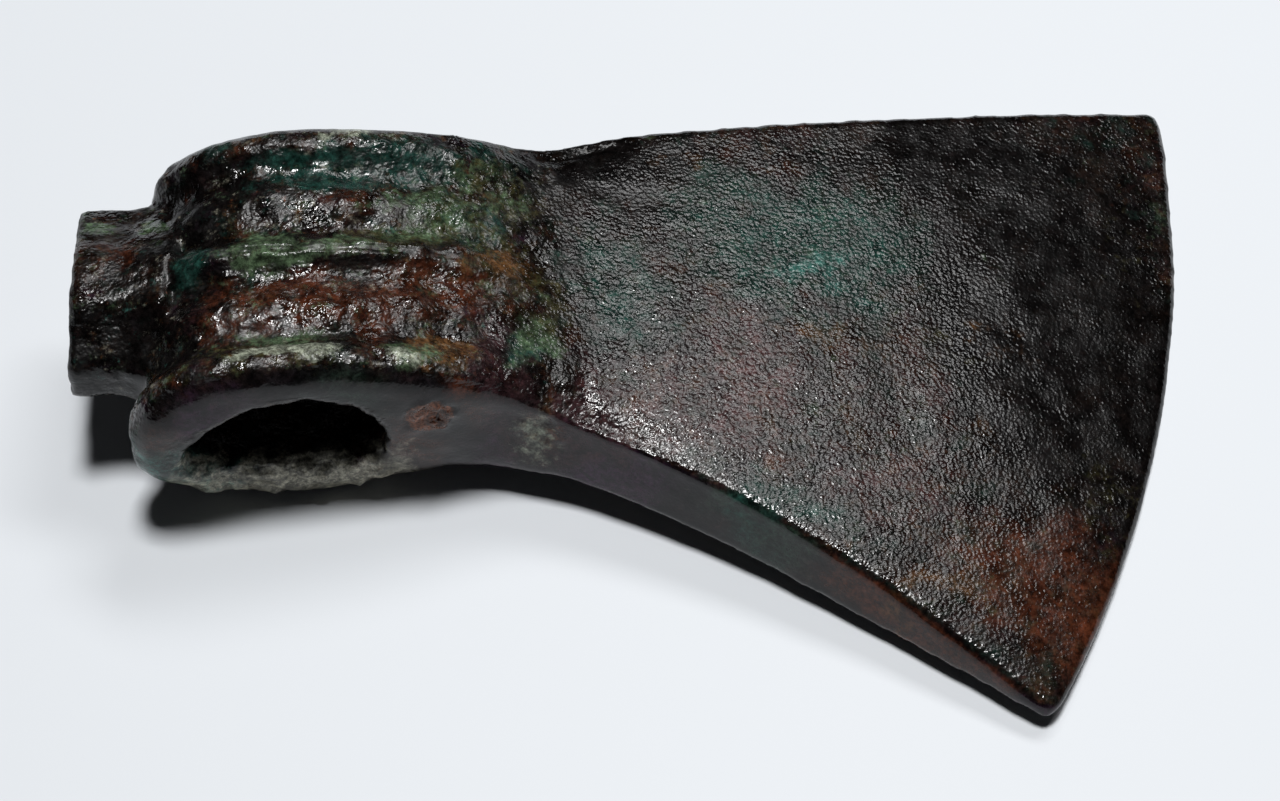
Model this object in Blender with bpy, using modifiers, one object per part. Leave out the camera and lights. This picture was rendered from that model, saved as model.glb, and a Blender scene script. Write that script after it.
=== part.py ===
import math

import bmesh
import bpy
from mathutils import Matrix, Vector

# The axe head is shaped with X running from the butt to the cutting edge,
# Y along the shaft hole and Z through its thickness. It is laid on its
# cheek at the end. Lengths are in metres, angles in degrees.

# Butt stub, an uneven octagonal bar behind the socket
BUTT_LENGTH = 0.0101
BUTT_WIDTH = 0.0295
BUTT_THICKNESS = 0.0202
BUTT_SIDE_HEIGHT = 0.0068
BUTT_TOP_WIDTH = 0.0076
BUTT_TOP_OFFSET = -0.0030
BUTT_CENTRE_Y = 0.0026
BUTT_CORNER_ROUND = 0.0009
BUTT_ROOT_DEPTH = 0.0045
BUTT_ROOT_FLARE = 0.0022
BUTT_FLARE_AT_WALL = 0.0007

# Socket, a ribbed tube round the shaft hole
SOCKET_WIDTH = 0.0490
SOCKET_THICKNESS = 0.0356
SOCKET_BACK_RUN = 0.0273
SOCKET_FRONT_RUN = 0.0390
BACK_FULLNESS = 2.5
FRONT_FULLNESS = 1.8
MOUTH_ROUND = 0.0046
MOUTH_ROUND_END = 0.0400
MOUTH_HOLLOW = 0.0012
MOUTH_HOLLOW_RUN = 0.0069
MOUTH_HOLLOW_DEPTH = 0.0069
MOUTH_FLAT_HALF_HEIGHT = 0.0042
MOUTH_TILT = 3.0
UPPER_MOUTH_RISE = 0.0008
UPPER_MOUTH_FADE = 0.0100

# Raised ribs round the socket, with shallow valleys beside them
RIB_SPACING = 0.0190
RIB_HALF_WIDTH = 0.0044
RIB_HEIGHT = 0.0024
PANEL_RISE = 0.0012
RIB_FADE_START = 0.0210
RIB_FADE_RUN = 0.0170

# Shaft hole, an arch over a flatter sill. The sill of the lower mouth flares.
HOLE_LENGTH = 0.0303
HOLE_BACK_WALL = 0.0085
HOLE_SPRING_HEIGHT = -0.0020
ARCH_RISE = 0.0125
ARCH_SKEW = 0.16
ARCH_FULLNESS = 2.0
SILL_DROP = 0.0048
SILL_FULLNESS = 3.0
SILL_FLARE = 0.0026
HOLE_LIP = 0.0008
HOLE_OVERSHOOT = 0.0060

# Neck and blade
NECK_RUN = 0.0255
NECK_THICKNESS = 0.0170
NECK_BLEND = 0.0040
UPPER_TIP_RUN = 0.1175
UPPER_FLARE = 0.0131
UPPER_SWELL = 0.0022
UPPER_SWELL_START = 0.25
LOWER_TIP_RUN = 0.0787
BEARD_DROP = 0.0530
BEARD_POWER = 1.37
EDGE_BULGE = 0.0082
EDGE_THICKNESS = 0.0013
EDGE_CORNER_ROUND = 0.0018
BELLY_SHARE = 0.52
BELLY_RUN = 0.0170
BLADE_CAMBER = 0.0004
SIDE_LEAN = 0.0020
SIDE_LEAN_START = 0.0077
SIDE_LEAN_RUN = 0.0153
SIDE_LEAN_REACH = 0.4
SIDE_LEAN_FULL_HEIGHT = 0.0043

# The cheek underneath is slimmer beside the lower end of the neck
SLIM_SHARE = 0.24
SLIM_CENTRE = 0.0055
SLIM_RUN = 0.0190
SLIM_DEPTH = 0.0140

# The butt and the socket lean a little against the blade, as cast
BUTT_LEAN = 2.7
SOCKET_LEAN = 5.5
LEAN_START = 0.0060
LEAN_RUN = 0.0080
LEAN_FADE_START = 0.0102

# Fineness of the faceting
ROUND_STEPS = 4
ROW_PITCH = 0.00135
BACK_STEPS = 11
CROWN_STEPS = 11
BLADE_STEPS = 26
WALL_STEPS = 3
CROWDING = 0.55
HOLE_SIDES = 44
SMOOTH_ANGLE = 35.0

COLLECTION_NAME = "bronze_age_axe_head"
NODE_NAME = "axe_head"
PATINA_COLOUR = (0.055, 0.050, 0.040, 1.0)
PATINA_ROUGHNESS = 0.36
PATINA_METALLIC = 0.35

CROWN_X = BUTT_LENGTH + SOCKET_BACK_RUN
NECK_X = CROWN_X + NECK_RUN
HALF_SOCKET = SOCKET_WIDTH / 2.0
MERGE_DISTANCE = 0.000005


def smooth_step(value):
    value = min(max(value, 0.0), 1.0)
    return value * value * (3.0 - 2.0 * value)


def smooth_max(first, second, blend):
    overlap = max(blend - abs(first - second), 0.0)
    return max(first, second) + overlap * overlap / (4.0 * blend)


def clear_scene():
    for item in list(bpy.data.objects):
        bpy.data.objects.remove(item, do_unlink=True)


def make_collection(name):
    collection = bpy.data.collections.new(name)
    bpy.context.scene.collection.children.link(collection)
    return collection


def make_patina():
    material = bpy.data.materials.new("dark_bronze_patina")
    material.use_nodes = True
    shader = material.node_tree.nodes["Principled BSDF"]
    shader.inputs["Base Color"].default_value = PATINA_COLOUR
    shader.inputs["Roughness"].default_value = PATINA_ROUGHNESS
    shader.inputs["Metallic"].default_value = PATINA_METALLIC
    return material


def object_from_bmesh(name, mesh_data, collection):
    mesh = bpy.data.meshes.new(name)
    mesh_data.to_mesh(mesh)
    mesh_data.free()
    item = bpy.data.objects.new(name, mesh)
    collection.objects.link(item)
    return item


def bake_modifiers(item):
    graph = bpy.context.evaluated_depsgraph_get()
    baked = bpy.data.meshes.new_from_object(item.evaluated_get(graph))
    item.modifiers.clear()
    item.data = baked


# Distance of each row of the surface from the socket's lower mouth, as shares
# of the socket's width. Rows crowd where the mouth's rim is rounded.
def row_shares():
    from_mouth = [
        MOUTH_ROUND * (1.0 - math.cos(math.pi / 2.0 * step / ROUND_STEPS))
        for step in range(ROUND_STEPS)
    ]
    middle_run = HALF_SOCKET - MOUTH_ROUND
    middle_steps = max(4, round(middle_run / ROW_PITCH))
    from_mouth += [
        MOUTH_ROUND + middle_run * step / middle_steps
        for step in range(middle_steps + 1)
    ]
    lower_half = [distance / SOCKET_WIDTH for distance in from_mouth]
    return lower_half + [1.0 - share for share in reversed(lower_half[:-1])]


# How far the mouth's rounded rim lies inside the socket's full section
def rim_inset(distance_from_mouth, radius):
    if radius <= 0.0 or distance_from_mouth >= radius:
        return 0.0
    gap = radius - distance_from_mouth
    return radius - math.sqrt(radius * radius - gap * gap)


# Depth of the surface below the rib crests, across the socket
def rib_depth(across):
    if abs(across) >= RIB_SPACING:
        return 0.0
    nearest = min(abs(across), abs(abs(across) - RIB_SPACING))
    if nearest <= RIB_HALF_WIDTH:
        return RIB_HEIGHT * (1.0 - math.cos(math.pi * nearest / RIB_HALF_WIDTH)) / 2.0
    panel_half = max(RIB_SPACING / 2.0 - RIB_HALF_WIDTH, MERGE_DISTANCE)
    along = (nearest - RIB_HALF_WIDTH) / panel_half
    return RIB_HEIGHT - PANEL_RISE * (1.0 - math.cos(math.pi * along)) / 2.0


def lower_outline(x):
    if x <= NECK_X:
        return -HALF_SOCKET
    along = (x - NECK_X) / LOWER_TIP_RUN
    return -HALF_SOCKET - BEARD_DROP * along ** BEARD_POWER


def upper_outline(x):
    if x <= NECK_X:
        return HALF_SOCKET
    along = (x - NECK_X) / UPPER_TIP_RUN
    swell = UPPER_SWELL * math.sin(math.pi * math.sqrt(min(along, 1.0)))
    return HALF_SOCKET + UPPER_FLARE * along + swell * smooth_step(along / UPPER_SWELL_START)


def lower_tip():
    return Vector((NECK_X + LOWER_TIP_RUN, lower_outline(NECK_X + LOWER_TIP_RUN)))


def upper_tip():
    return Vector((NECK_X + UPPER_TIP_RUN, upper_outline(NECK_X + UPPER_TIP_RUN)))


# Place in plan of a blade point: along is 0 at the neck and 1 at the cutting
# edge, share is 0 at the beard's side and 1 at the upper side
def blade_point(along, share):
    lower_x = NECK_X + LOWER_TIP_RUN * along
    upper_x = NECK_X + UPPER_TIP_RUN * along
    lower = Vector((lower_x, lower_outline(lower_x)))
    upper = Vector((upper_x, upper_outline(upper_x)))
    chord = upper_tip() - lower_tip()
    outward = Vector((chord.y, -chord.x)).normalized()
    bulge = EDGE_BULGE * 4.0 * share * (1.0 - share)
    from_tip = min(share, 1.0 - share) * chord.length
    corner = rim_inset(from_tip, EDGE_CORNER_ROUND)
    return lower.lerp(upper, share) + outward * (bulge - corner) * along * along


def blade_half_thickness(along, share):
    row_length = (blade_point(1.0, share) - blade_point(0.0, share)).length
    from_edge = (1.0 - along) * row_length
    belly = 1.0 - math.exp(-from_edge / BELLY_RUN)
    gained = BELLY_SHARE * belly + (1.0 - BELLY_SHARE) * (1.0 - along)
    rise = (NECK_THICKNESS - EDGE_THICKNESS) / 2.0 * gained
    camber = BLADE_CAMBER * (2.0 * share - 1.0) ** 2 * min(1.0, from_edge / BELLY_RUN)
    return EDGE_THICKNESS / 2.0 + rise - camber


def socket_half_thickness(x, share):
    past_crown = x - CROWN_X
    fade = smooth_step(1.0 - (past_crown - RIB_FADE_START) / RIB_FADE_RUN)
    full = SOCKET_THICKNESS / 2.0 - rib_depth((share - 0.5) * SOCKET_WIDTH) * fade
    reach = min(past_crown / SOCKET_FRONT_RUN, 1.0)
    return full * (1.0 - reach ** FRONT_FULLNESS) ** (1.0 / FRONT_FULLNESS)


# Height in front of the crown, where the socket runs out into the blade
def front_half_thickness(x, along, share):
    socket = socket_half_thickness(x, share)
    height = smooth_max(socket, blade_half_thickness(along, share), NECK_BLEND)
    before_end = (MOUTH_ROUND_END - (x - CROWN_X)) / MOUTH_ROUND_END
    rounding = MOUTH_ROUND * smooth_step(before_end * 2.0)
    return height - rim_inset(HALF_SOCKET - abs(share - 0.5) * SOCKET_WIDTH, rounding)


def back_wall_point(turn, share):
    across = (share - 0.5) * SOCKET_WIDTH
    inset = rim_inset(HALF_SOCKET - abs(across), MOUTH_ROUND) + rib_depth(across)
    power = 2.0 / BACK_FULLNESS
    x = CROWN_X - (SOCKET_BACK_RUN - inset) * math.cos(turn) ** power
    z = (SOCKET_THICKNESS / 2.0 - inset) * math.sin(turn) ** power
    return Vector((x, across, z))


# One point of the upper surface, for a column and a row of the grid
def surface_point(column, share):
    if column <= BACK_STEPS:
        return back_wall_point(math.pi / 2.0 * column / BACK_STEPS, share)
    column -= BACK_STEPS
    if column <= CROWN_STEPS:
        x = CROWN_X + NECK_RUN * column / CROWN_STEPS
        lower = lower_outline(x)
        y = lower + (upper_outline(x) - lower) * share
        return Vector((x, y, front_half_thickness(x, 0.0, share)))
    step = (column - CROWN_STEPS) / BLADE_STEPS
    along = step - CROWDING * math.sin(2.0 * math.pi * step) / (2.0 * math.pi)
    place = blade_point(along, share)
    return Vector((place.x, place.y, front_half_thickness(place.x, along, share)))


# The upper half of the socket and blade, open at the middle plane
def make_upper_half(collection):
    shares = row_shares()
    columns = BACK_STEPS + CROWN_STEPS + BLADE_STEPS
    mesh_data = bmesh.new()
    bmesh.ops.create_grid(
        mesh_data, x_segments=columns, y_segments=len(shares) - 1, size=1.0
    )
    for vertex in mesh_data.verts:
        column = round((vertex.co.x + 1.0) / 2.0 * columns)
        row = round((vertex.co.y + 1.0) / 2.0 * (len(shares) - 1))
        vertex.co = surface_point(column, shares[row])
    for step in range(WALL_STEPS):
        border = [
            edge for edge in mesh_data.edges
            if edge.is_boundary and max(v.co.z for v in edge.verts) > MERGE_DISTANCE
        ]
        remaining = (WALL_STEPS - step - 1.0) / (WALL_STEPS - step)
        walls = bmesh.ops.extrude_edge_only(mesh_data, edges=border)
        for item in walls["geom"]:
            if isinstance(item, bmesh.types.BMVert):
                item.co.z *= remaining
    bmesh.ops.remove_doubles(mesh_data, verts=mesh_data.verts, dist=MERGE_DISTANCE)
    bmesh.ops.recalc_face_normals(mesh_data, faces=mesh_data.faces)
    return object_from_bmesh(NODE_NAME, mesh_data, collection)


def mirror_half(item):
    mirror = item.modifiers.new("lower_half", "MIRROR")
    mirror.use_axis = (False, False, True)
    mirror.merge_threshold = MERGE_DISTANCE
    bake_modifiers(item)


# Corners of the butt's octagon, as seen from its end
def butt_corners():
    half_width = BUTT_WIDTH / 2.0
    half_top = BUTT_TOP_WIDTH / 2.0
    upper = [
        (half_width, BUTT_SIDE_HEIGHT / 2.0),
        (BUTT_TOP_OFFSET + half_top, BUTT_THICKNESS / 2.0),
        (BUTT_TOP_OFFSET - half_top, BUTT_THICKNESS / 2.0),
        (-half_width, BUTT_SIDE_HEIGHT / 2.0),
    ]
    return upper + [(y, -z) for y, z in reversed(upper)]


def nearest_corner(vertex, corners):
    place = Vector((vertex.co.y - BUTT_CENTRE_Y, vertex.co.z))
    return min(corners, key=lambda corner: (Vector(corner) - place).length)


def place_ring(ring, corners, x, growth):
    for vertex in ring:
        corner = Vector(nearest_corner(vertex, corners))
        reach = corner + corner.normalized() * growth
        vertex.co = Vector((x, BUTT_CENTRE_Y + reach.x, reach.y))


# The butt runs into the socket's wall and widens at its root
def make_butt(collection):
    corners = butt_corners()
    stations = [
        (BUTT_CORNER_ROUND, 0.0),
        (BUTT_LENGTH - BUTT_ROOT_FLARE, 0.0),
        (BUTT_LENGTH, BUTT_FLARE_AT_WALL),
        (BUTT_LENGTH + BUTT_ROOT_DEPTH, BUTT_ROOT_FLARE),
    ]
    mesh_data = bmesh.new()
    ring = bmesh.ops.create_circle(
        mesh_data, cap_ends=True, segments=len(corners), radius=1.0
    )
    for vertex, (y, z) in zip(ring["verts"], corners):
        vertex.co = Vector((0.0, BUTT_CENTRE_Y + y, z))
    place_ring(ring["verts"], corners, 0.0, -BUTT_CORNER_ROUND / 2.0)
    for x, growth in stations:
        rim = [edge for edge in mesh_data.edges if edge.is_boundary]
        grown = bmesh.ops.extrude_edge_only(mesh_data, edges=rim)["geom"]
        ring = [item for item in grown if isinstance(item, bmesh.types.BMVert)]
        place_ring(ring, corners, x, growth)
    bmesh.ops.holes_fill(mesh_data, edges=mesh_data.edges, sides=len(corners))
    long_edges = [
        edge for edge in mesh_data.edges
        if abs(edge.verts[0].co.x - edge.verts[1].co.x) > MERGE_DISTANCE
    ]
    bmesh.ops.bevel(
        mesh_data, geom=long_edges, offset=BUTT_CORNER_ROUND, segments=2,
        affect="EDGES", profile=0.5, material=-1,
    )
    bmesh.ops.recalc_face_normals(mesh_data, faces=mesh_data.faces)
    return object_from_bmesh("butt_stub_form", mesh_data, collection)


# Place across and height of a point on the hole's outline, from the middle of
# its springing line. The sill drops lower by the flare.
def hole_outline(turn, growth, flare):
    level = math.sin(turn)
    fullness = ARCH_FULLNESS if level >= 0.0 else SILL_FULLNESS
    reach = ARCH_RISE if level >= 0.0 else SILL_DROP + flare
    power = 2.0 / fullness
    across = math.copysign(abs(math.cos(turn)) ** power, math.cos(turn))
    upward = math.copysign(abs(level) ** power, level)
    skew = 1.0 + ARCH_SKEW * across if level >= 0.0 else 1.0
    return (HOLE_LENGTH / 2.0 + growth) * across, (reach + growth) * upward * skew


# A bar along Y with the hole's section, which widens where it leaves each mouth
def make_hole_cutter(collection):
    centre_x = BUTT_LENGTH + HOLE_BACK_WALL + HOLE_LENGTH / 2.0
    outside = HALF_SOCKET + HOLE_OVERSHOOT
    stations = [
        (-outside, HOLE_LIP, SILL_FLARE + HOLE_OVERSHOOT),
        (-HALF_SOCKET, HOLE_LIP, SILL_FLARE),
        (-HALF_SOCKET + HOLE_LIP, 0.0, SILL_FLARE - HOLE_LIP),
        (-HALF_SOCKET + SILL_FLARE, 0.0, 0.0),
        (HALF_SOCKET - HOLE_LIP, 0.0, 0.0),
        (HALF_SOCKET, HOLE_LIP, 0.0),
        (outside, HOLE_LIP, 0.0),
    ]
    mesh_data = bmesh.new()
    bmesh.ops.create_grid(
        mesh_data, x_segments=HOLE_SIDES, y_segments=len(stations) - 1, size=1.0
    )
    for vertex in mesh_data.verts:
        turn = math.pi * (vertex.co.x + 1.0)
        station = round((vertex.co.y + 1.0) / 2.0 * (len(stations) - 1))
        y, growth, flare = stations[station]
        x, z = hole_outline(turn, growth, flare)
        vertex.co = Vector((centre_x + x, y, HOLE_SPRING_HEIGHT + z))
    bmesh.ops.remove_doubles(mesh_data, verts=mesh_data.verts, dist=MERGE_DISTANCE)
    bmesh.ops.holes_fill(mesh_data, edges=mesh_data.edges, sides=HOLE_SIDES)
    bmesh.ops.recalc_face_normals(mesh_data, faces=mesh_data.faces)
    cutter = object_from_bmesh("shaft_hole_cutter", mesh_data, collection)
    cutter.hide_render = True
    cutter.display_type = "WIRE"
    return cutter


def combine(item, tool, operation):
    step = item.modifiers.new(operation.lower(), "BOOLEAN")
    step.operation = operation
    step.solver = "EXACT"
    step.object = tool
    bake_modifiers(item)


# The beard's side leans, so its lower edge stands out past its upper arris
def lean_of_side(place):
    past_socket = smooth_step((place.x - NECK_X + SIDE_LEAN_START) / SIDE_LEAN_RUN)
    along = min(max((place.x - NECK_X) / LOWER_TIP_RUN, 0.0), 1.0)
    width = upper_outline(place.x) - lower_outline(NECK_X + LOWER_TIP_RUN * along)
    depth = (place.y - lower_outline(place.x)) / width if width > 0.0 else 1.0
    near_side = smooth_step(1.0 - depth / SIDE_LEAN_REACH)
    level = min(max(place.z / SIDE_LEAN_FULL_HEIGHT, -1.0), 1.0)
    return SIDE_LEAN / 2.0 * level * near_side * past_socket


def lean_of_plan(x):
    at_butt = math.tan(math.radians(BUTT_LEAN))
    at_socket = math.tan(math.radians(SOCKET_LEAN))
    if x <= CROWN_X:
        into_socket = smooth_step((x - BUTT_LENGTH + LEAN_START) / LEAN_RUN)
        return at_butt + (at_socket - at_butt) * into_socket
    return at_socket * smooth_step(1.0 - (x - CROWN_X - LEAN_FADE_START) / NECK_RUN)


# The mouths draw back over the cheeks and are flat beside the middle plane
def hollow_of_mouth(place):
    on_cheek = max(abs(place.z) - MOUTH_FLAT_HALF_HEIGHT, 0.0)
    depth = MOUTH_HOLLOW * min(on_cheek / MOUTH_HOLLOW_RUN, 1.0) ** 2
    near_mouth = smooth_step(1.0 - (HALF_SOCKET - abs(place.y)) / MOUTH_HOLLOW_DEPTH)
    on_socket = smooth_step(1.0 - (place.x - CROWN_X) / NECK_RUN)
    return -math.copysign(depth * near_mouth * on_socket, place.y)


# The upper mouth stands out a little from the crown to the neck
def rise_of_upper_mouth(place):
    if place.y <= 0.0:
        return 0.0
    from_back = smooth_step((place.x - BUTT_LENGTH) / SOCKET_BACK_RUN)
    before_blade = smooth_step(1.0 - (place.x - NECK_X) / UPPER_MOUTH_FADE)
    near_mouth = min(place.y / HALF_SOCKET, 1.0) ** 2
    return UPPER_MOUTH_RISE * from_back * before_blade * near_mouth


# Share of its height that the lower cheek keeps
def slim_of_underside(place):
    if place.z >= 0.0:
        return 1.0
    beside_neck = smooth_step(1.0 - abs(place.x - NECK_X + SLIM_CENTRE) / SLIM_RUN)
    near_side = smooth_step(1.0 - (place.y - lower_outline(place.x)) / SLIM_DEPTH)
    return 1.0 - SLIM_SHARE * beside_neck * near_side


# The lower mouth's plane is turned a little, so it stands out most at the back
def tilt_of_mouth(x, y):
    if y >= 0.0:
        return 0.0
    from_crown = CROWN_X - min(x, NECK_X)
    return y / HALF_SOCKET * math.tan(math.radians(MOUTH_TILT)) * from_crown


def lean(item):
    for vertex in item.data.vertices:
        place = vertex.co.copy()
        y = place.y + lean_of_side(place) + hollow_of_mouth(place)
        y += rise_of_upper_mouth(place)
        x = place.x + place.y * lean_of_plan(place.x)
        vertex.co.x = x
        vertex.co.y = y + tilt_of_mouth(x, y)
        vertex.co.z = place.z * slim_of_underside(place)


def centre_of_mass(mesh_data):
    total = 0.0
    centre = Vector((0.0, 0.0, 0.0))
    for first, second, third in mesh_data.calc_loop_triangles():
        a, b, c = first.vert.co, second.vert.co, third.vert.co
        volume = a.dot(b.cross(c)) / 6.0
        total += volume
        centre += (a + b + c) * volume / 4.0
    return centre / total


# True where the face, used as the floor, has the centre of mass above it
def holds_up(face, centre):
    corners = [vertex.co for vertex in face.verts]
    for index, corner in enumerate(corners):
        edge = corners[(index + 1) % len(corners)] - corner
        if face.normal.dot(edge.cross(centre - corner)) < 0.0:
            return False
    return True


# The face of the convex hull that the piece comes to rest on, cheek down
def resting_direction(item):
    mesh_data = bmesh.new()
    mesh_data.from_mesh(item.data)
    centre = centre_of_mass(mesh_data)
    hull = bmesh.ops.convex_hull(mesh_data, input=mesh_data.verts)["geom"]
    faces = [part for part in hull if isinstance(part, bmesh.types.BMFace)]
    for face in faces:
        face.normal_update()
        if face.normal.dot(face.calc_center_median() - centre) < 0.0:
            face.normal_flip()
    steady = [face for face in faces if holds_up(face, centre)]
    downward = min(steady, key=lambda face: face.normal.z).normal.copy()
    mesh_data.free()
    return downward


# Turn the piece on to its cheek, then put the middle of its footprint at the origin
def lay_down(item):
    turn = resting_direction(item).rotation_difference(Vector((0.0, 0.0, -1.0)))
    item.data.transform(turn.to_matrix().to_4x4())
    lowest = Vector([min(v.co[axis] for v in item.data.vertices) for axis in range(3)])
    highest = Vector([max(v.co[axis] for v in item.data.vertices) for axis in range(3)])
    middle = (lowest + highest) / 2.0
    item.data.transform(Matrix.Translation((-middle.x, -middle.y, -lowest.z)))


def finish(item):
    mesh_data = bmesh.new()
    mesh_data.from_mesh(item.data)
    bmesh.ops.triangulate(mesh_data, faces=mesh_data.faces)
    mesh_data.to_mesh(item.data)
    mesh_data.free()
    item.data.materials.clear()
    item.data.materials.append(make_patina())
    item.data.shade_smooth()
    item.data.set_sharp_from_angle(angle=math.radians(SMOOTH_ANGLE))


def build_axe_head():
    clear_scene()
    parts = make_collection(COLLECTION_NAME)
    tools = make_collection(COLLECTION_NAME + "_cutters")
    axe_head = make_upper_half(parts)
    mirror_half(axe_head)
    butt = make_butt(tools)
    combine(axe_head, butt, "UNION")
    bpy.data.objects.remove(butt, do_unlink=True)
    combine(axe_head, make_hole_cutter(tools), "DIFFERENCE")
    lean(axe_head)
    lay_down(axe_head)
    finish(axe_head)


build_axe_head()
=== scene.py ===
import math

import bmesh
import bpy
import numpy as np
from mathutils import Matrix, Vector, kdtree, noise
from mathutils.bvhtree import BVHTree


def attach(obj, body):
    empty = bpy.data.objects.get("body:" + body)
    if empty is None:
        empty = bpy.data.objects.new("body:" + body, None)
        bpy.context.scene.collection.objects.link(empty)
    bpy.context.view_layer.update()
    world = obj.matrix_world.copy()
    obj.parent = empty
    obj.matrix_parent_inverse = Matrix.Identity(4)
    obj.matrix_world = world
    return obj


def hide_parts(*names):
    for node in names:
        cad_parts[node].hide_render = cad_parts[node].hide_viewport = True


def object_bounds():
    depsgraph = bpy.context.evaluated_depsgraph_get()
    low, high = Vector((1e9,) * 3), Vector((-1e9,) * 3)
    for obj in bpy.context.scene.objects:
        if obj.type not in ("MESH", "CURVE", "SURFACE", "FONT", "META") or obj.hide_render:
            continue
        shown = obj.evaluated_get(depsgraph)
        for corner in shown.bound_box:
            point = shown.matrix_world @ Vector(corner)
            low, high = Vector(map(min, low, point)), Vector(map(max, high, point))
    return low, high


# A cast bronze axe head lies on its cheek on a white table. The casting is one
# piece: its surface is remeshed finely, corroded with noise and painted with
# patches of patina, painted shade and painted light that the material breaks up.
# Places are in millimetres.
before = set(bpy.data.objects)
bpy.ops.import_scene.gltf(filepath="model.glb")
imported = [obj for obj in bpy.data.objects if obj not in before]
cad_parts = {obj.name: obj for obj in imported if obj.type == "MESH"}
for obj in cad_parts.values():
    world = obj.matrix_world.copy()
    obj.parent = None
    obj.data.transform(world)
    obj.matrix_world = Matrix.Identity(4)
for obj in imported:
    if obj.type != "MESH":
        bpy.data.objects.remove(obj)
cadBox = [list(corner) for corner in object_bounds()]
mm = 0.001
print("frame loaded, box", cadBox)


# Camera

cameraView = {
    "azimuth": -5.6,        # degrees round the axe head, 0 looks along +Y
    "elevation": 57.0,
    "distance": 400.0,      # from the target
    "target": (-3.95, -0.05, 12.0),
    "lens": 73.1,
    "sensorWidth": 36.0,
    "nearest": 10.0,        # closer than this nothing is drawn
}


def makeCamera():
    azimuth = math.radians(cameraView["azimuth"])
    elevation = math.radians(cameraView["elevation"])
    back = Vector((
        math.sin(azimuth) * math.cos(elevation),
        -math.cos(azimuth) * math.cos(elevation),
        math.sin(elevation),
    ))
    data = bpy.data.cameras.new("camera")
    data.lens = cameraView["lens"]
    data.sensor_width = cameraView["sensorWidth"]
    data.clip_start = cameraView["nearest"] * mm
    camera = bpy.data.objects.new("camera", data)
    bpy.context.scene.collection.objects.link(camera)
    camera.location = (Vector(cameraView["target"]) + back * cameraView["distance"]) * mm
    camera.rotation_euler = back.to_track_quat("Z", "Y").to_euler()
    bpy.context.scene.camera = camera


# Helpers for shader nodes

def addNode(tree, kind, inputs=None, **settings):
    made = tree.nodes.new(kind)
    for name, value in settings.items():
        setattr(made, name, value)
    for name, value in (inputs or {}).items():
        if isinstance(value, bpy.types.NodeSocket):
            tree.links.new(value, made.inputs[name])
        else:
            made.inputs[name].default_value = value
    return made


def calculate(tree, operation, first, second=0.0, third=0.0):
    made = addNode(tree, "ShaderNodeMath", {0: first, 1: second, 2: third}, operation=operation)
    return made.outputs[0]


def multiply(tree, first, second):
    return calculate(tree, "MULTIPLY", first, second)


def remap(tree, value, low, high, toLow=0.0, toHigh=1.0):
    made = addNode(
        tree, "ShaderNodeMapRange",
        {"Value": value, "From Min": low, "From Max": high, "To Min": toLow, "To Max": toHigh},
        interpolation_type="SMOOTHSTEP",
    )
    return made.outputs["Result"]


def mixColour(tree, share, under, over, blendType="MIX"):
    made = addNode(tree, "ShaderNodeMix", data_type="RGBA", blend_type=blendType)
    for index, value in ((0, share), (6, under), (7, over)):
        if isinstance(value, bpy.types.NodeSocket):
            tree.links.new(value, made.inputs[index])
        else:
            made.inputs[index].default_value = value
    return made.outputs[2]


def speckle(tree, place, size, detail, roughness, distortion=0.0):
    made = addNode(tree, "ShaderNodeTexNoise", {
        "Vector": place, "Scale": 1.0 / (size * mm), "Detail": detail,
        "Roughness": roughness, "Distortion": distortion,
    })
    return made.outputs["Fac"]


def newGroup(name, inputs, outputs):
    group = bpy.data.node_groups.new(name, "ShaderNodeTree")
    for socketName, kind, value in inputs:
        socket = group.interface.new_socket(socketName, in_out="INPUT", socket_type=kind)
        if value is not None:
            socket.default_value = value
    for socketName, kind in outputs:
        group.interface.new_socket(socketName, in_out="OUTPUT", socket_type=kind)
    return group, addNode(group, "NodeGroupInput"), addNode(group, "NodeGroupOutput")


patchBreakUp = {
    "detail": 7.0,
    "roughness": 0.72,
    "reach": 1.7,           # how much further the noise shifts the edge at Break 1
    "gapScale": 3.4,        # the gaps are this much finer than the edge
    "gapDetail": 4.0,
    "gapRoughness": 0.7,
    "gapFrom": 0.34,
    "gapTo": 0.58,
    "lost": 0.75,           # the share that the deepest gaps take away
    "lostByBreak": 0.75,
    "lostAlways": 0.25,
}
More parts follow.
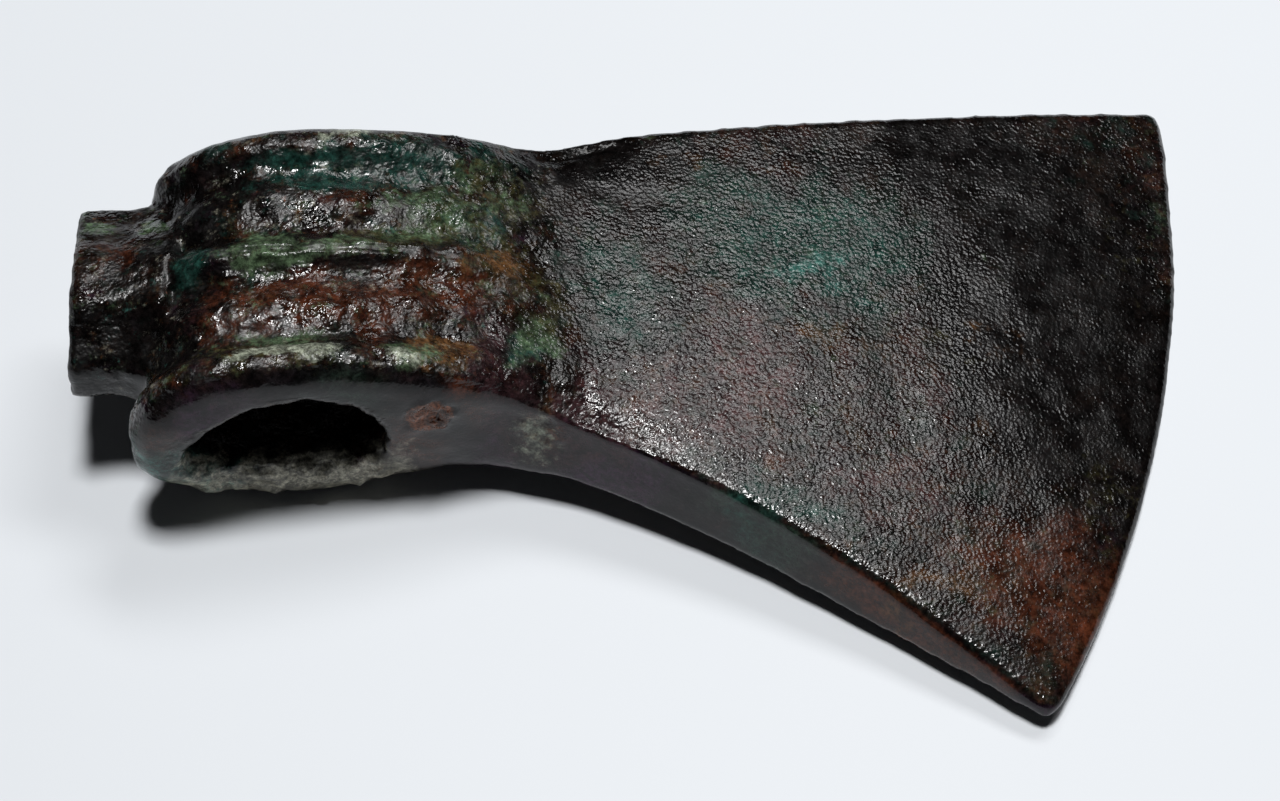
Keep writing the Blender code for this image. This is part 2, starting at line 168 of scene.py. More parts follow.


# Breaks a painted patch up at its edge with noise, as corrosion spreads, and the painted shade and
# light the same way
def makePatchGroup():
    look = patchBreakUp
    group, given, result = newGroup(
        "brokenPatch",
        [("Place", "NodeSocketVector", None), ("Paint", "NodeSocketFloat", 0.0),
         ("Size", "NodeSocketFloat", 400.0), ("Shift", "NodeSocketFloat", 0.0),
         ("Edge", "NodeSocketFloat", 0.2), ("Break", "NodeSocketFloat", 1.0)],
        [("Cover", "NodeSocketFloat")],
    )
    shifted = addNode(group, "ShaderNodeVectorMath", {0: given.outputs["Place"]}, operation="ADD")
    group.links.new(given.outputs["Shift"], shifted.inputs[1])
    cloud = addNode(group, "ShaderNodeTexNoise", {
        "Vector": shifted.outputs[0], "Scale": given.outputs["Size"],
        "Detail": look["detail"], "Roughness": look["roughness"],
    })
    centred = calculate(group, "SUBTRACT", cloud.outputs["Fac"], 0.5)
    reach = calculate(group, "MULTIPLY_ADD", given.outputs["Break"], look["reach"], 1.0)
    spread = calculate(group, "MULTIPLY_ADD", centred, reach, given.outputs["Paint"])
    low = calculate(group, "SUBTRACT", 0.5, given.outputs["Edge"])
    high = calculate(group, "ADD", 0.5, given.outputs["Edge"])
    cover = remap(group, spread, low, high)
    # Finer gaps let the dark ground through
    fine = multiply(group, given.outputs["Size"], look["gapScale"])
    gaps = addNode(group, "ShaderNodeTexNoise", {
        "Vector": shifted.outputs[0], "Scale": fine,
        "Detail": look["gapDetail"], "Roughness": look["gapRoughness"],
    })
    lost = remap(group, gaps.outputs["Fac"], look["gapFrom"], look["gapTo"], look["lost"], 0.0)
    lostHere = calculate(
        group, "MULTIPLY_ADD", given.outputs["Break"], look["lostByBreak"], look["lostAlways"]
    )
    kept = calculate(group, "SUBTRACT", 1.0, multiply(group, lost, lostHere))
    group.links.new(multiply(group, cover, kept), result.inputs["Cover"])
    return group


# The casting's surface

castingShape = {
    "voxel": 0.70,          # spacing of the fine surface
    "relaxPasses": 2,
    "weldDistance": 0.005,  # the solid's loose triangles are joined first
    "arrisAngle": 32.0,     # a bend sharper than this counts as an arris
    "arrisStep": 0.5,
    "arrisReach": 0.9,
    "socketEnd": -31.0,     # the rough socket runs out into the blade here
    "socketFade": 26.0,
    "endWander": 11.0,      # how far noise shifts that run-out
    "neckX": -13.0,         # the crease between socket and blade is smoothed here
    "neckReach": 14.0,
    "neckPasses": 200,
    "cheekFrom": 0.70,      # a normal this upright starts to count as cheek
    "cheekFull": 0.95,
    "wearPasses": 10,       # smoothing of the blade's arrises
    "wearReach": 1.6,
    "wearStart": -34.0,
    "wearFade": 12.0,
    "sideFrom": 0.45,       # a normal this level starts to count as flat side
    "sideFull": 0.75,
    "buttRoot": -80.0,
    "buttFade": 1.0,
    "dimpleEdge": 0.62,     # share of a cell that its dimple fills
}

# Size in mm, octaves, and a shift so that no two repeat each other
skinNoise = {
    "wander": (13.0, 3, 51.0),
    "swell": (15.0, 2, 3.1),
    "lump": (4.6, 3, 11.7),
    "fine": (1.7, 2, 23.9),
}
dimpleCells = {"size": 4.2, "shift": 5.3}

# How deep each kind of unevenness goes on each part of the surface
relief = {
    "socket": {"swell": 0.40, "lump": 0.46, "dimple": 0.34, "fine": 0.16},
    "butt": {"swell": 0.05, "lump": 0.24, "dimple": 0.22, "fine": 0.14},
    "mouth": {"swell": 0.20, "lump": 0.10, "dimple": 0.06, "fine": 0.03},
    "bore": {"swell": 0.15, "lump": 0.40, "dimple": 0.10, "fine": 0.18},
    "blade": {"swell": 0.20, "lump": 0.06, "dimple": 0.00, "fine": 0.03},
    "side": {"swell": 0.22, "lump": 0.08, "dimple": 0.03, "fine": 0.02},
    "sill": {"swell": 0.30, "lump": 0.75, "dimple": 0.25, "fine": 0.34},
    "pits": {"swell": 0.00, "lump": 0.70, "dimple": 0.45, "fine": 1.10},
    "bumps": {"swell": 0.00, "lump": 0.55, "dimple": 0.35, "fine": 0.30},
}


def smoothStep(value, low, high):
    share = np.clip((value - low) / (high - low), 0.0, 1.0)
    return share * share * (3.0 - 2.0 * share)


def remeshed(source, voxel):
    mesh = source.data.copy()
    welded = bmesh.new()
    welded.from_mesh(mesh)
    bmesh.ops.remove_doubles(welded, verts=welded.verts, dist=castingShape["weldDistance"] * mm)
    welded.to_mesh(mesh)
    tree = BVHTree.FromBMesh(welded)
    sharp = [
        edge for edge in welded.edges
        if len(edge.link_faces) == 2
        and edge.calc_face_angle(0.0) > math.radians(castingShape["arrisAngle"])
    ]
    arrisPoints = []
    for edge in sharp:
        start, end = (vertex.co.copy() for vertex in edge.verts)
        steps = max(1, round((end - start).length / (castingShape["arrisStep"] * mm)))
        arrisPoints += [start.lerp(end, step / steps) for step in range(steps + 1)]
    welded.free()
    piece = bpy.data.objects.new("axe_head_surface", mesh)
    bpy.context.scene.collection.objects.link(piece)
    modifier = piece.modifiers.new("fineSurface", "REMESH")
    modifier.mode = "VOXEL"
    modifier.voxel_size = voxel * mm
    graph = bpy.context.evaluated_depsgraph_get()
    fine = bpy.data.meshes.new_from_object(piece.evaluated_get(graph))
    piece.modifiers.clear()
    piece.data = fine
    return piece, tree, arrisPoints


def pointsOf(mesh):
    places = np.zeros(len(mesh.vertices) * 3)
    mesh.vertices.foreach_get("co", places)
    return places.reshape(-1, 3)


def normalsOf(mesh):
    normals = np.zeros(len(mesh.vertices) * 3, dtype=np.float32)
    mesh.vertex_normals.foreach_get("vector", normals)
    return normals.reshape(-1, 3).astype(float)


def setPoints(mesh, places):
    mesh.vertices.foreach_set("co", places.astype(np.float32).ravel())
    mesh.update()


# Each pass moves every point towards the middle of its neighbours
def relaxed(mesh, places, passes, share=0.5):
    edges = np.zeros(len(mesh.edges) * 2, dtype=np.int64)
    mesh.edges.foreach_get("vertices", edges)
    edges = edges.reshape(-1, 2)
    count = np.bincount(edges.ravel(), minlength=len(places))
    for _ in range(passes):
        total = np.zeros_like(places)
        for axis in range(3):
            total[:, axis] = (
                np.bincount(edges[:, 0], weights=places[edges[:, 1], axis], minlength=len(places))
                + np.bincount(edges[:, 1], weights=places[edges[:, 0], axis], minlength=len(places))
            )
        places = places + (total / count[:, None] - places) * share
    return places


def cloudField(places, size, octaves, shift):
    offset = Vector((shift, shift * 0.7, -shift * 0.4))
    return np.array([
        noise.fractal(Vector(place) / size + offset, 1.0, 2.1, octaves) for place in places
    ])


# Shallow round dimples, deepest at each cell's middle
def dimpleField(places, size, shift):
    offset = Vector((shift, -shift, shift * 0.3))
    nearest = np.array([
        noise.voronoi(Vector(place) / size + offset)[0][0] for place in places
    ])
    edge = castingShape["dimpleEdge"]
    return smoothStep(edge - nearest, 0.0, edge)


def partShares(places, normals, wander):
    shape = castingShape
    x = places[:, 0]
    onSide = smoothStep(np.abs(normals[:, 1]), shape["sideFrom"], shape["sideFull"])
    runOut = shape["socketEnd"] + wander * shape["endWander"]
    beforeBlade = 1.0 - smoothStep(x - runOut, 0.0, shape["socketFade"])
    root = shape["buttRoot"]
    onButt = 1.0 - smoothStep(x, root - shape["buttFade"], root + shape["buttFade"])
    inBore = insideBore(places, normals)
    outside = 1.0 - inBore
    return {
        "sill": sillShare(places),
        "pits": spotShare(places, sideSpots["pits"]),
        "bumps": spotShare(places, sideSpots["bumps"]),
        "bore": inBore,
        "butt": onButt * outside,
        "socket": beforeBlade * (1.0 - onSide) * (1.0 - onButt) * outside,
        "mouth": beforeBlade * onSide * (1.0 - onButt) * outside,
        "blade": (1.0 - beforeBlade) * (1.0 - onSide) * outside,
        "side": (1.0 - beforeBlade) * onSide * outside,
    }


# Small corroded spots on the near side: x, y, z of the middle and the three reaches
sideSpots = {
    "pits": (-36.0, -6.8, 22.2, 4.4, 4.0, 4.8),
    "bumps": (-19.5, -7.0, 16.8, 5.5, 4.0, 3.6),
}
spotEdge = {"full": 0.55, "none": 1.05}  # shares of the reach


def spotShare(places, spot):
    squares = [((places[:, axis] - spot[axis]) / spot[axis + 3]) ** 2 for axis in range(3)]
    return 1.0 - smoothStep(np.sqrt(sum(squares)), spotEdge["full"], spotEdge["none"])


# The encrusted sill of the lower mouth, from the bore to the lip's lower edge
sillShape = {
    "x": -58.0,
    "halfLength": 17.0,
    "endFade": 4.0,
    "top": 12.5,
    "topFade": 2.5,
    "bottom": 2.0,
    "bottomFade": 2.0,
    "depth": -3.0,
    "depthFade": 2.0,
}


def sillShare(places):
    sill = sillShape
    x, y, z = places[:, 0], places[:, 1], places[:, 2]
    end = sill["halfLength"]
    along = 1.0 - smoothStep(np.abs(x - sill["x"]), end - sill["endFade"], end)
    below = 1.0 - smoothStep(z, sill["top"] - sill["topFade"], sill["top"])
    above = smoothStep(z, sill["bottom"], sill["bottom"] + sill["bottomFade"])
    atMouth = 1.0 - smoothStep(y, sill["depth"] - sill["depthFade"], sill["depth"])
    return along * below * above * atMouth


boreShape = {
    "x": -56.4,
    "midY": 18.0,           # the bore's axis passes x here and leans from it
    "leanX": 0.09,
    "z": 19.0,
    "halfLength": 16.6,
    "halfHeight": 11.5,
    "wallFade": 2.0,
}


# Full on the wall of the shaft hole, whose normals face its axis
def insideBore(places, normals):
    x = places[:, 0] - boreShape["x"] - (places[:, 1] - boreShape["midY"]) * boreShape["leanX"]
    z = places[:, 2] - boreShape["z"]
    radius = np.hypot(x / boreShape["halfLength"], z / boreShape["halfHeight"])
    facing = -(x * normals[:, 0] + z * normals[:, 2])
    return (radius < 1.0).astype(float) * smoothStep(facing, 0.0, boreShape["wallFade"])


def distancesTo(points, places):
    nearby = kdtree.KDTree(len(points))
    for index, point in enumerate(points):
        nearby.insert(point, index)
    nearby.balance()
    return np.array([nearby.find(Vector(place))[2] for place in places])


# The socket melts into the blade across the cheeks, without a crease
def meltNeck(mesh, places):
    shape = castingShape
    blended = relaxed(mesh, places, shape["neckPasses"])
    fromNeck = (places[:, 0] / mm - shape["neckX"]) / shape["neckReach"]
    onCheek = smoothStep(np.abs(normalsOf(mesh)[:, 2]), shape["cheekFrom"], shape["cheekFull"])
    melt = (np.exp(-fromNeck ** 2) * onCheek)[:, None]
    return places + (blended - places) * melt


# The blade's arrises are worn round
def wearArrises(mesh, places, fromArris):
    shape = castingShape
    worn = relaxed(mesh, places, shape["wearPasses"])
    start = shape["wearStart"]
    onBlade = smoothStep(places[:, 0] / mm, start, start + shape["wearFade"])
    wear = (np.exp(-(fromArris / shape["wearReach"]) ** 4) * onBlade)[:, None]
    return places + (worn - places) * wear


# Lays the fine surface on the solid's, then wears and roughens it
def corrode(piece, tree, arrisPoints):
    shape = castingShape
    mesh = piece.data
    snapped = [tree.find_nearest(Vector(place))[0] for place in pointsOf(mesh)]
    places = relaxed(mesh, np.array(snapped), shape["relaxPasses"])
    setPoints(mesh, places)
    places = meltNeck(mesh, places)
    fromArris = distancesTo(arrisPoints, places) / mm
    arris = np.exp(-(fromArris / shape["arrisReach"]) ** 2)
    places = wearArrises(mesh, places, fromArris)
    setPoints(mesh, places)
    normals = normalsOf(mesh)
    placesMm = places / mm
    wander = cloudField(placesMm, *skinNoise["wander"])
    shares = partShares(placesMm, normals, wander)
    fields = {
        "swell": cloudField(placesMm, *skinNoise["swell"]),
        "lump": cloudField(placesMm, *skinNoise["lump"]),
        "dimple": -dimpleField(placesMm, dimpleCells["size"], dimpleCells["shift"]),
        "fine": cloudField(placesMm, *skinNoise["fine"]),
    }
    depth = np.zeros(len(places))
    for part, share in shares.items():
        for kind, amount in relief[part].items():
            depth += share * amount * fields[kind]
    placesMm = placesMm + normals * depth[:, None]
    low, high = (np.array(corner) / mm for corner in cadBox)
    placesMm = np.clip(placesMm, low, high)
    setPoints(mesh, placesMm * mm)
    mesh.shade_smooth()
    return placesMm, shares, arris


# Patina, painted shade and painted light on the casting

# Each patch is x, y, z of its middle, its reach along x and y, and its strength,
# and paintLook holds its reach along z
patches = {
    "teal": [
        (-51, 32, 34, 8, 4, 1.0), (-36, 34, 32, 8, 4, 1.0), (-65, 38, 34, 5, 2, 0.6),
        (-70, 16, 34, 3, 4, 0.9), (26, 25, 15, 17, 15, 0.74), (14, 33, 16, 12, 8, 0.62),
        (-5, 17, 20, 9, 14, 0.62), (-27, 38, 24, 8, 3, 0.6), (33, 15, 14, 8, 5, 0.6),
        (-78, -7, 16, 5, 4, 0.9), (-72, -7, 10, 6, 3, 0.9), (13, -25, 13, 8, 5, 0.66),
        (-28, 24, 30, 7, 4, 0.8), (-21, 4, 24, 3, 4, 0.8),
    ],
    "turquoise": [(26, 17, 15, 6, 3, 0.6), (-78, -7, 15, 3, 2, 0.8), (-70, -9, 9, 7, 3, 0.9)],
    "green": [
        (-57, 17, 36, 8, 3, 1.0), (-46, 18, 35, 6, 2, 0.8), (-32, 25, 30, 9, 5, 0.64),
        (-20, 7, 24, 3.5, 5, 0.72), (-85, 29, 28, 2, 2, 1.1), (-77, 27, 29, 2, 2, 1.0),
        (-58, 1.5, 36, 6, 1.2, 1.0), (-38, -1, 33, 4, 2, 0.9), (-36, 21, 30, 6, 2, 0.8),
        (-24, 32, 25, 7, 6, 0.5), (56, 20, 9, 7, 4, 0.3), (85, 33, 4, 3, 8, 0.3),
    ],
    "olive": [
        (-27, 22, 28, 9, 8, 0.50), (-23, 32, 25, 8, 6, 0.48), (-18, 12, 23, 5, 9, 0.42),
        (-40, 20, 33, 8, 3, 0.5), (44, 8, 12, 8, 8, 0.4), (66, -22, 6, 7, 12, 0.42),
        (-60, -2, 33, 12, 3, 0.5), (78, 22, 5, 6, 9, 0.4),
    ],
    "rust": [
        (-49, 8, 34, 16, 5, 1.0), (-61, 4, 34, 6, 4, 0.9), (-33, 12, 31, 11, 5, 0.9),
        (-45, 26, 34, 5, 3, 0.7), (-82, 21, 31, 4, 3, 0.6), (-30, -6, 26, 4, 2, 0.6),
        (-4, -6, 19, 3, 3, 0.7), (17, -15, 16, 4, 3, 0.7), (53, -37, 7, 12, 12, 1.1),
        (47, -32, 9, 9, 8, 0.7), (84, -3, 3, 3, 12, 0.4),
    ],
    "ochre": [
        (-24, 17, 27, 5, 3, 0.8), (-33, 0, 30, 5, 3, 1.0), (27, 7, 15, 6, 3, 0.5),
        (54, 7, 10, 6, 4, 0.4), (48, -10, 10, 4, 3, 0.4), (-19, -8, 18, 3, 3, 0.5),
        (-40, 40, 30, 8, 3, 0.4), (8, 40, 17, 8, 3, 0.4), (34, -38, 8, 10, 4, 0.5),
    ],
    "violet": [
        (-25, 1, 26, 6, 7, 1.1), (11, 1, 17, 14, 18, 0.6), (-17, -9, 17, 14, 5, 1.0),
        (-6, 2, 20, 8, 8, 0.6),
    ],
    "rose": [
        (12, -2, 16, 11, 15, 0.70), (-1, -7, 18, 8, 6, 0.62), (30, -22, 13, 9, 8, 0.58),
        (38, 2, 12, 7, 9, 0.5), (14, 36, 15, 7, 4, 0.5),
    ],
    # Pale crust, and a painted highlight along the rim crests
    "paleCrustAndHighlight": [
        (-56, -1, 36, 7.5, 1.1, 1.4), (-38, -2, 33, 2.6, 1.2, 0.8), (-46, 39, 32, 7, 2, 0.7),
        (-20, -8, 16, 4, 3, 0.5),
    ],
    # Crust on the lower lip, lightened as painted light where the lip lies in shade
    "sillCrustAndPaintedLight": [
        (-71, -8, 7, 7, 4, 0.8), (-60, -8, 6, 9, 4, 1.0), (-48, -7, 6, 9, 4, 1.0),
    ],
    # Painted shade: the bare, darkest ground where the sheen and glints miss the blade's edge band,
    # its top and the neck, the socket's back and the stub
    "paintedShade": [
        (62, 15, 9, 17, 34, 1.0), (53, 42, 11, 24, 8, 1.0), (72, -25, 6, 10, 12, 0.7),
        (-71, 27, 32, 7, 10, 1.1), (-73, 8, 30, 7, 8, 1.1), (-62, 26, 35, 6, 3, 0.8),
        (-86, 4, 22, 6, 6, 1.1), (-6, 39, 20, 15, 7, 0.9), (-85, 8, 28, 6, 4, 1.1),
        (70, -46, 4, 9, 5, 1.0), (76, 8, 5, 9, 30, 0.9),
    ],
}

# Tints of the two flat sides, painted there only
sidePatches = {
    "sideViolet": [
        (-16, -12, 12, 13, 30, 1.0), (-66, -7, 22, 9, 8, 0.7), (52, -40, 6, 10, 20, 0.7),
    ],
    "sideGreen": [
        (12, -23, 12, 5, 30, 0.9), (-48, -7, 26, 6, 8, 0.6), (-20, -9, 15, 5, 8, 0.7),
    ],
    "sideBrown": [
        (33, -36, 9, 12, 30, 1.1), (-76, -6, 16, 5, 10, 0.8), (-42, -7, 12, 6, 8, 0.7),
    ],
}

# Where the surface is smoother and its grain calm
calmPatches = [
    (66, 10, 7, 17, 36, 1.0), (56, -38, 6, 18, 14, 1.0), (50, 44, 11, 24, 8, 0.8),
    (-86, 3, 22, 6, 6, 0.9), (-70, 26, 32, 7, 10, 0.9), (-73, 8, 30, 7, 8, 0.9),
    (-51, 33, 34, 10, 3, 0.8), (-62, 4, 34, 6, 4, 0.8), (-4, 38, 19, 14, 7, 0.7),
]

patinaColours = {
    "ground": (0.0030, 0.0023, 0.0023, 1.0),
    "brown": (0.0120, 0.0070, 0.0048, 1.0),
    "teal": (0.0090, 0.0330, 0.0260, 1.0),
    "turquoise": (0.0320, 0.1100, 0.0920, 1.0),
    "green": (0.0560, 0.0880, 0.0470, 1.0),
    "olive": (0.0360, 0.0330, 0.0130, 1.0),
    "rust": (0.0480, 0.0135, 0.0062, 1.0),
    "ochre": (0.0850, 0.0400, 0.0150, 1.0),
    "violet": (0.0240, 0.0105, 0.0120, 1.0),
    "rose": (0.0460, 0.0210, 0.0210, 1.0),
    # pale crust and painted highlight
    "paleCrustAndHighlight": (0.2200, 0.2400, 0.1850, 1.0),
    # crust, lightened as painted light
    "sillCrustAndPaintedLight": (0.2900, 0.2750, 0.2150, 1.0),
    # painted shade
    "paintedShade": (0.0030, 0.0024, 0.0024, 1.0),
    "mouthGrey": (0.0070, 0.0056, 0.0066, 1.0),
    "sideViolet": (0.0320, 0.0125, 0.0320, 1.0),
    "sideGreen": (0.0180, 0.0340, 0.0240, 1.0),
    "sideBrown": (0.0600, 0.0180, 0.0090, 1.0),
    "pitRust": (0.2000, 0.0680, 0.0300, 1.0),
}

# How much of each colour is scattered in small spots, by part of the casting
scattered = {
    "teal": {"socket": 0.10, "butt": 0.05, "mouth": 0.10, "side": 0.10, "blade": 0.28},
    "green": {"socket": 0.12, "butt": 0.10, "mouth": 0.02, "side": 0.04, "blade": 0.18},
    "rust": {"socket": 0.22, "butt": 0.16, "mouth": 0.10, "side": 0.08, "blade": 0.27},
    "ochre": {"socket": 0.10, "butt": 0.05, "mouth": 0.04, "side": 0.04, "blade": 0.22},
    "violet": {"socket": 0.15, "butt": 0.10, "mouth": 0.22, "side": 0.22, "blade": 0.33},
}


# Noise moves the patches a little everywhere, and further on the blade and its
# sides, so that they lose their round outline
warpLook = {"size": 7.0, "octaves": 2, "shift": 31.0, "reach": 2.6}
driftLook = {"size": 16.0, "octaves": 3, "shift": 71.0, "reach": 6.0}
axisShift = 9.0

paintLook = {
    "reachZ": 9.0,          # every patch reaches as far through the thickness
    "full": 0.30,           # shares of the reach at which a patch is full and gone
    "none": 1.80,
    # the painted shade on the blade keeps other colours out this far
    "clearOfPaintedShade": 0.45,    # how far dark areas of the blade keep other colours out
    "pitRust": 1.1,
    "bumpRust": 0.55,
    "boreRough": 0.6,
    "bumpCrust": 0.6,
    "crustRough": 0.5,
}


def storeAttribute(mesh, name, values):
    attribute = mesh.attributes.new(name, "FLOAT", "POINT")
    attribute.data.foreach_set("value", values.astype(np.float32))


def spotCover(places, spots):
    cover = np.zeros(len(places))
    for x, y, z, reachX, reachY, strength in spots:
        distance = np.sqrt(
            ((places[:, 0] - x) / reachX) ** 2
            + ((places[:, 1] - y) / reachY) ** 2
            + ((places[:, 2] - z) / paintLook["reachZ"]) ** 2
        )
        fall = smoothStep(distance, paintLook["full"], paintLook["none"])
        cover = np.maximum(cover, strength * (1.0 - fall))
    return cover


def shiftedBy(places, look):
    return np.stack([
        cloudField(places, look["size"], look["octaves"], look["shift"] + axisShift * axis)
        for axis in range(3)
    ], axis=1) * look["reach"]


def paint(mesh, placesMm, shares, arris):
    look = paintLook
    onBlade = (shares["blade"] + shares["side"])[:, None]
    warped = placesMm + shiftedBy(placesMm, warpLook) + shiftedBy(placesMm, driftLook) * onBlade
    # unshaded is the share outside the painted shade
    unshaded = 1.0 - np.clip(spotCover(warped, patches["paintedShade"]), 0.0, 1.0)
    onSide = shares["mouth"] + shares["side"]
    for name, spots in patches.items():
        cover = spotCover(warped, spots)
        for part, amount in scattered.get(name, {}).items():
            cover = np.maximum(cover, amount * shares[part] * unshaded)
        if name != "paintedShade":
            cover = cover * (1.0 - look["clearOfPaintedShade"] * (1.0 - unshaded) * shares["blade"])
        storeAttribute(mesh, name, cover)
    for name, spots in sidePatches.items():
        storeAttribute(mesh, name, spotCover(warped, spots) * onSide)
    pitRust = look["pitRust"] * shares["pits"] + look["bumpRust"] * shares["bumps"]
    storeAttribute(mesh, "pitRust", pitRust)
    storeAttribute(mesh, "calm", spotCover(warped, calmPatches))
    storeAttribute(mesh, "mouthFace", onSide)
    roughSkin = shares["socket"] + shares["butt"] + look["boreRough"] * shares["bore"]
    bumpCrust = look["bumpCrust"] * shares["bumps"]
    crusted = np.maximum(shares["sill"], np.maximum(shares["pits"], bumpCrust))
    storeAttribute(mesh, "rough", np.maximum(roughSkin, look["crustRough"] * crusted))
    storeAttribute(mesh, "crust", crusted)
    storeAttribute(mesh, "arris", arris)


# From the ground up: size in mm of the noise that breaks a colour up, its shift
# and how soft its edge is
patchNoise = {
    "sideViolet": (7.0, 2.2, 0.45),
    "sideGreen": (6.0, 5.1, 0.45),
    "sideBrown": (6.5, 3.3, 0.45),
    "pitRust": (2.0, 1.9, 0.22),
    # painted shade
    "paintedShade": (12.0, 3.7, 0.40),
    "violet": (6.0, 1.3, 0.32),
    "rose": (5.2, 6.1, 0.26),
    "rust": (4.5, 4.1, 0.30),
    "ochre": (3.6, 7.7, 0.28),
    "teal": (4.4, 9.2, 0.32),
    "green": (3.2, 2.6, 0.26),
    "olive": (2.6, 4.9, 0.24),
    "turquoise": (2.6, 6.5, 0.28),
    # crust, lightened as painted light
    "sillCrustAndPaintedLight": (2.4, 8.4, 0.30),
    # pale crust and painted highlight
    "paleCrustAndHighlight": (2.0, 5.8, 0.22),
}

# Each cloud is a noise: size in mm, detail, roughness and distortion, then the
# stretch of its values that is used and what that stretch becomes
clouds = {
    "mottle": (8.0, 8.0, 0.75, 0.0, 0.42, 0.68, 0.0, 1.0),
    "sideGrey": (11.0, 4.0, 0.60, 0.0, 0.35, 0.65, 0.25, 1.0),
    "fleck": (0.9, 6.0, 0.75, 0.0, 0.32, 0.70, 0.30, 1.70),
    "vein": (3.2, 4.0, 0.70, 0.6, 0.34, 0.66, 0.45, 1.50),
    "worn": (5.0, 6.0, 0.70, 0.0, 0.38, 0.62, 0.0, 1.0),
    "clusters": (7.0, 3.0, 0.60, 0.0, 0.36, 0.62, 0.25, 1.0),
}

waxLook = {
    "ior": 1.42,
    "roughness": 0.13,      # where the wax lies thick
    "wornAdds": 0.13,
    "wornRoughAdds": 0.15,  # on the rough socket and stub
    "crustAdds": 0.22,
    "crustFrom": 0.2,
    "crustTo": 0.8,
}

# The grain is round pebbles over a fine noise, the knobs are on the rough parts
grainLook = {
    "size": 0.62,
    "detail": 1.5,
    "roughness": 0.5,
    "pebbleSmooth": 0.35,
    "pebbleEdge": 0.75,
    "pebbleShare": 0.26,
    "height": 0.155,
    "knobSize": 1.9,
    "knobDetail": 2.0,
    "knobRoughness": 0.5,
    "knobHeight": 0.62,
    "onCalm": 0.42,         # what is left of the grain on calm ground
    "onArris": 0.15,
    "arrisFrom": 0.2,
    "arrisTo": 0.9,
    "onSide": 0.22,
}

# How far the patches are broken up, everywhere and further on the rough parts
breakLook = {"always": 0.28, "onRough": 0.72}


def makePatina():
    material = bpy.data.materials.new("waxedPatina")
    material.use_nodes = True
    tree = material.node_tree
    shader = tree.nodes["Principled BSDF"]
    place = addNode(tree, "ShaderNodeTexCoord").outputs["Object"]
    patchGroup = makePatchGroup()

    def painted(name):
        return addNode(tree, "ShaderNodeAttribute", attribute_name=name).outputs["Fac"]

    def cloud(name):
        size, detail, roughness, distortion, low, high, toLow, toHigh = clouds[name]
        noiseHere = speckle(tree, place, size, detail, roughness, distortion)
        return remap(tree, noiseHere, low, high, toLow, toHigh)

    def covered(name):
        size, shift, edge = patchNoise[name]
        return addNode(tree, "ShaderNodeGroup", {
            "Place": place, "Paint": painted(name), "Size": 1.0 / (size * mm),
            "Shift": shift, "Edge": edge, "Break": broken,
        }, node_tree=patchGroup).outputs["Cover"]

    colours = patinaColours
    rough = painted("rough")
    onSide = painted("mouthFace")
    broken = calculate(tree, "MULTIPLY_ADD", rough, breakLook["onRough"], breakLook["always"])
    colour = mixColour(tree, cloud("mottle"), colours["ground"], colours["brown"])
    greyed = multiply(tree, onSide, cloud("sideGrey"))
    colour = mixColour(tree, greyed, colour, colours["mouthGrey"])
    for name in patchNoise:
        colour = mixColour(tree, covered(name), colour, colours[name])
    shade = multiply(tree, cloud("fleck"), cloud("vein"))
    grey = addNode(tree, "ShaderNodeCombineColor", {"Red": shade, "Green": shade, "Blue": shade})
    colour = mixColour(tree, 1.0, colour, grey.outputs[0], "MULTIPLY")
    tree.links.new(colour, shader.inputs["Base Color"])

    # Wax pools in some places and is worn off in others, which gathers the glints
    wax = waxLook
    wornReach = calculate(tree, "MULTIPLY_ADD", rough, wax["wornRoughAdds"], wax["wornAdds"])
    gloss = calculate(tree, "MULTIPLY_ADD", cloud("worn"), wornReach, wax["roughness"])
    dulled = remap(
        tree, painted("sillCrustAndPaintedLight"), wax["crustFrom"], wax["crustTo"], 0.0, wax["crustAdds"]
    )
    tree.links.new(calculate(tree, "ADD", gloss, dulled), shader.inputs["Roughness"])
    shader.inputs["IOR"].default_value = wax["ior"]

    look = grainLook
    calmGround = remap(tree, painted("calm"), 0.0, 1.0, 1.0, look["onCalm"])
    calmArris = remap(
        tree, painted("arris"), look["arrisFrom"], look["arrisTo"], 1.0, look["onArris"]
    )
    calm = multiply(tree, calmGround, calmArris)
    byFace = remap(tree, onSide, 0.0, 1.0, 1.0, look["onSide"])
    grainShare = multiply(tree, calculate(tree, "MAXIMUM", painted("crust"), byFace), calm)
    pebbleCells = addNode(tree, "ShaderNodeTexVoronoi", {
        "Vector": place, "Scale": 1.0 / (look["size"] * mm), "Smoothness": look["pebbleSmooth"],
    }, feature="SMOOTH_F1")
    pebbles = remap(tree, pebbleCells.outputs["Distance"], 0.0, look["pebbleEdge"], 1.0, 0.0)
    fineNoise = speckle(tree, place, look["size"], look["detail"], look["roughness"])
    grain = calculate(tree, "MULTIPLY_ADD", pebbles, look["pebbleShare"], fineNoise)
    knobs = speckle(tree, place, look["knobSize"], look["knobDetail"], look["knobRoughness"])
    knobShare = multiply(tree, multiply(tree, rough, cloud("clusters")), calm)
    grainHeight = multiply(tree, multiply(tree, grain, grainShare), look["height"] * mm)
    knobHeight = multiply(tree, multiply(tree, knobs, knobShare), look["knobHeight"] * mm)
    height = calculate(tree, "ADD", grainHeight, knobHeight)
    bump = addNode(tree, "ShaderNodeBump", {"Height": height, "Strength": 1.0, "Distance": 1.0})
    tree.links.new(bump.outputs["Normal"], shader.inputs["Normal"])
    return material


# Table and light

tableLook = {"size": 2400.0, "colour": (0.745, 0.775, 0.810, 1.0), "roughness": 0.55}

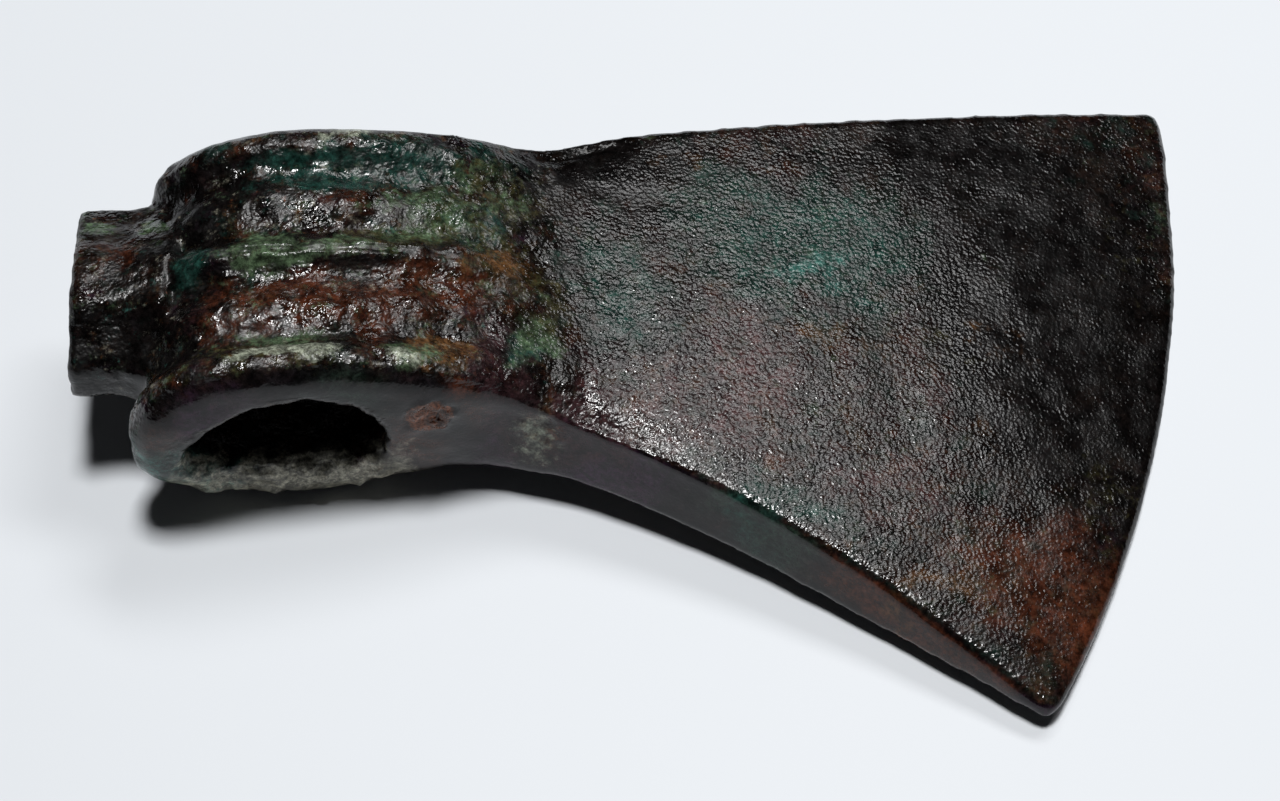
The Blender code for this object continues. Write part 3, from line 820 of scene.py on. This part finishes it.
# A small strong lamp nearly overhead throws the tight shadow and the glints,
# and a weak broad panel behind gives the blade its grey sheen
overheadLamp = {
    "direction": (0.03, 0.07, 0.99),
    "distance": 1500.0,
    "width": 260.0,
    "height": 260.0,
    "power": 18.9,
}
sheenPanel = {
    "direction": (0.31, 0.42, 0.85),
    "distance": 1000.0,
    "width": 470.0,
    "height": 190.0,
    "power": 2.8,
}
roomLight = {"colour": (0.90, 0.94, 1.0, 1.0), "strength": 0.015}


def makeTable():
    mesh = bpy.data.meshes.new("table")
    flat = bmesh.new()
    bmesh.ops.create_grid(flat, x_segments=1, y_segments=1, size=tableLook["size"] / 2 * mm)
    flat.to_mesh(mesh)
    flat.free()
    table = bpy.data.objects.new("table", mesh)
    bpy.context.scene.collection.objects.link(table)
    material = bpy.data.materials.new("whiteTable")
    material.use_nodes = True
    shader = material.node_tree.nodes["Principled BSDF"]
    shader.inputs["Base Color"].default_value = tableLook["colour"]
    shader.inputs["Roughness"].default_value = tableLook["roughness"]
    mesh.materials.append(material)


def makeSoftLight(name, look):
    direction = Vector(look["direction"]).normalized()
    data = bpy.data.lights.new(name, "AREA")
    data.shape = "RECTANGLE"
    data.size = look["width"] * mm
    data.size_y = look["height"] * mm
    data.energy = look["power"]
    lamp = bpy.data.objects.new(name, data)
    bpy.context.scene.collection.objects.link(lamp)
    lamp.location = direction * look["distance"] * mm
    lamp.rotation_euler = direction.to_track_quat("Z", "Y").to_euler()


def makeLights():
    makeSoftLight("overheadLamp", overheadLamp)
    makeSoftLight("sheenPanel", sheenPanel)
    world = bpy.data.worlds.new("paleRoom")
    world.use_nodes = True
    background = world.node_tree.nodes["Background"]
    background.inputs["Color"].default_value = roomLight["colour"]
    background.inputs["Strength"].default_value = roomLight["strength"]
    bpy.context.scene.world = world
    # The glossy skin doesn't mirror the room
    world.cycles_visibility.glossy = False
    bpy.context.scene.view_settings.view_transform = "Standard"


makeCamera()
casting, nearestOnCad, arrisPoints = remeshed(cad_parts["axe_head"], castingShape["voxel"])
print("remeshed,", len(casting.data.polygons), "faces,", len(arrisPoints), "arris points")
castingPlaces, castingShares, castingArris = corrode(casting, nearestOnCad, arrisPoints)
print("corroded")
paint(casting.data, castingPlaces, castingShares, castingArris)
casting.data.materials.clear()
casting.data.materials.append(makePatina())
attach(casting, "root")
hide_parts("axe_head")
print("painted")
makeTable()
makeLights()
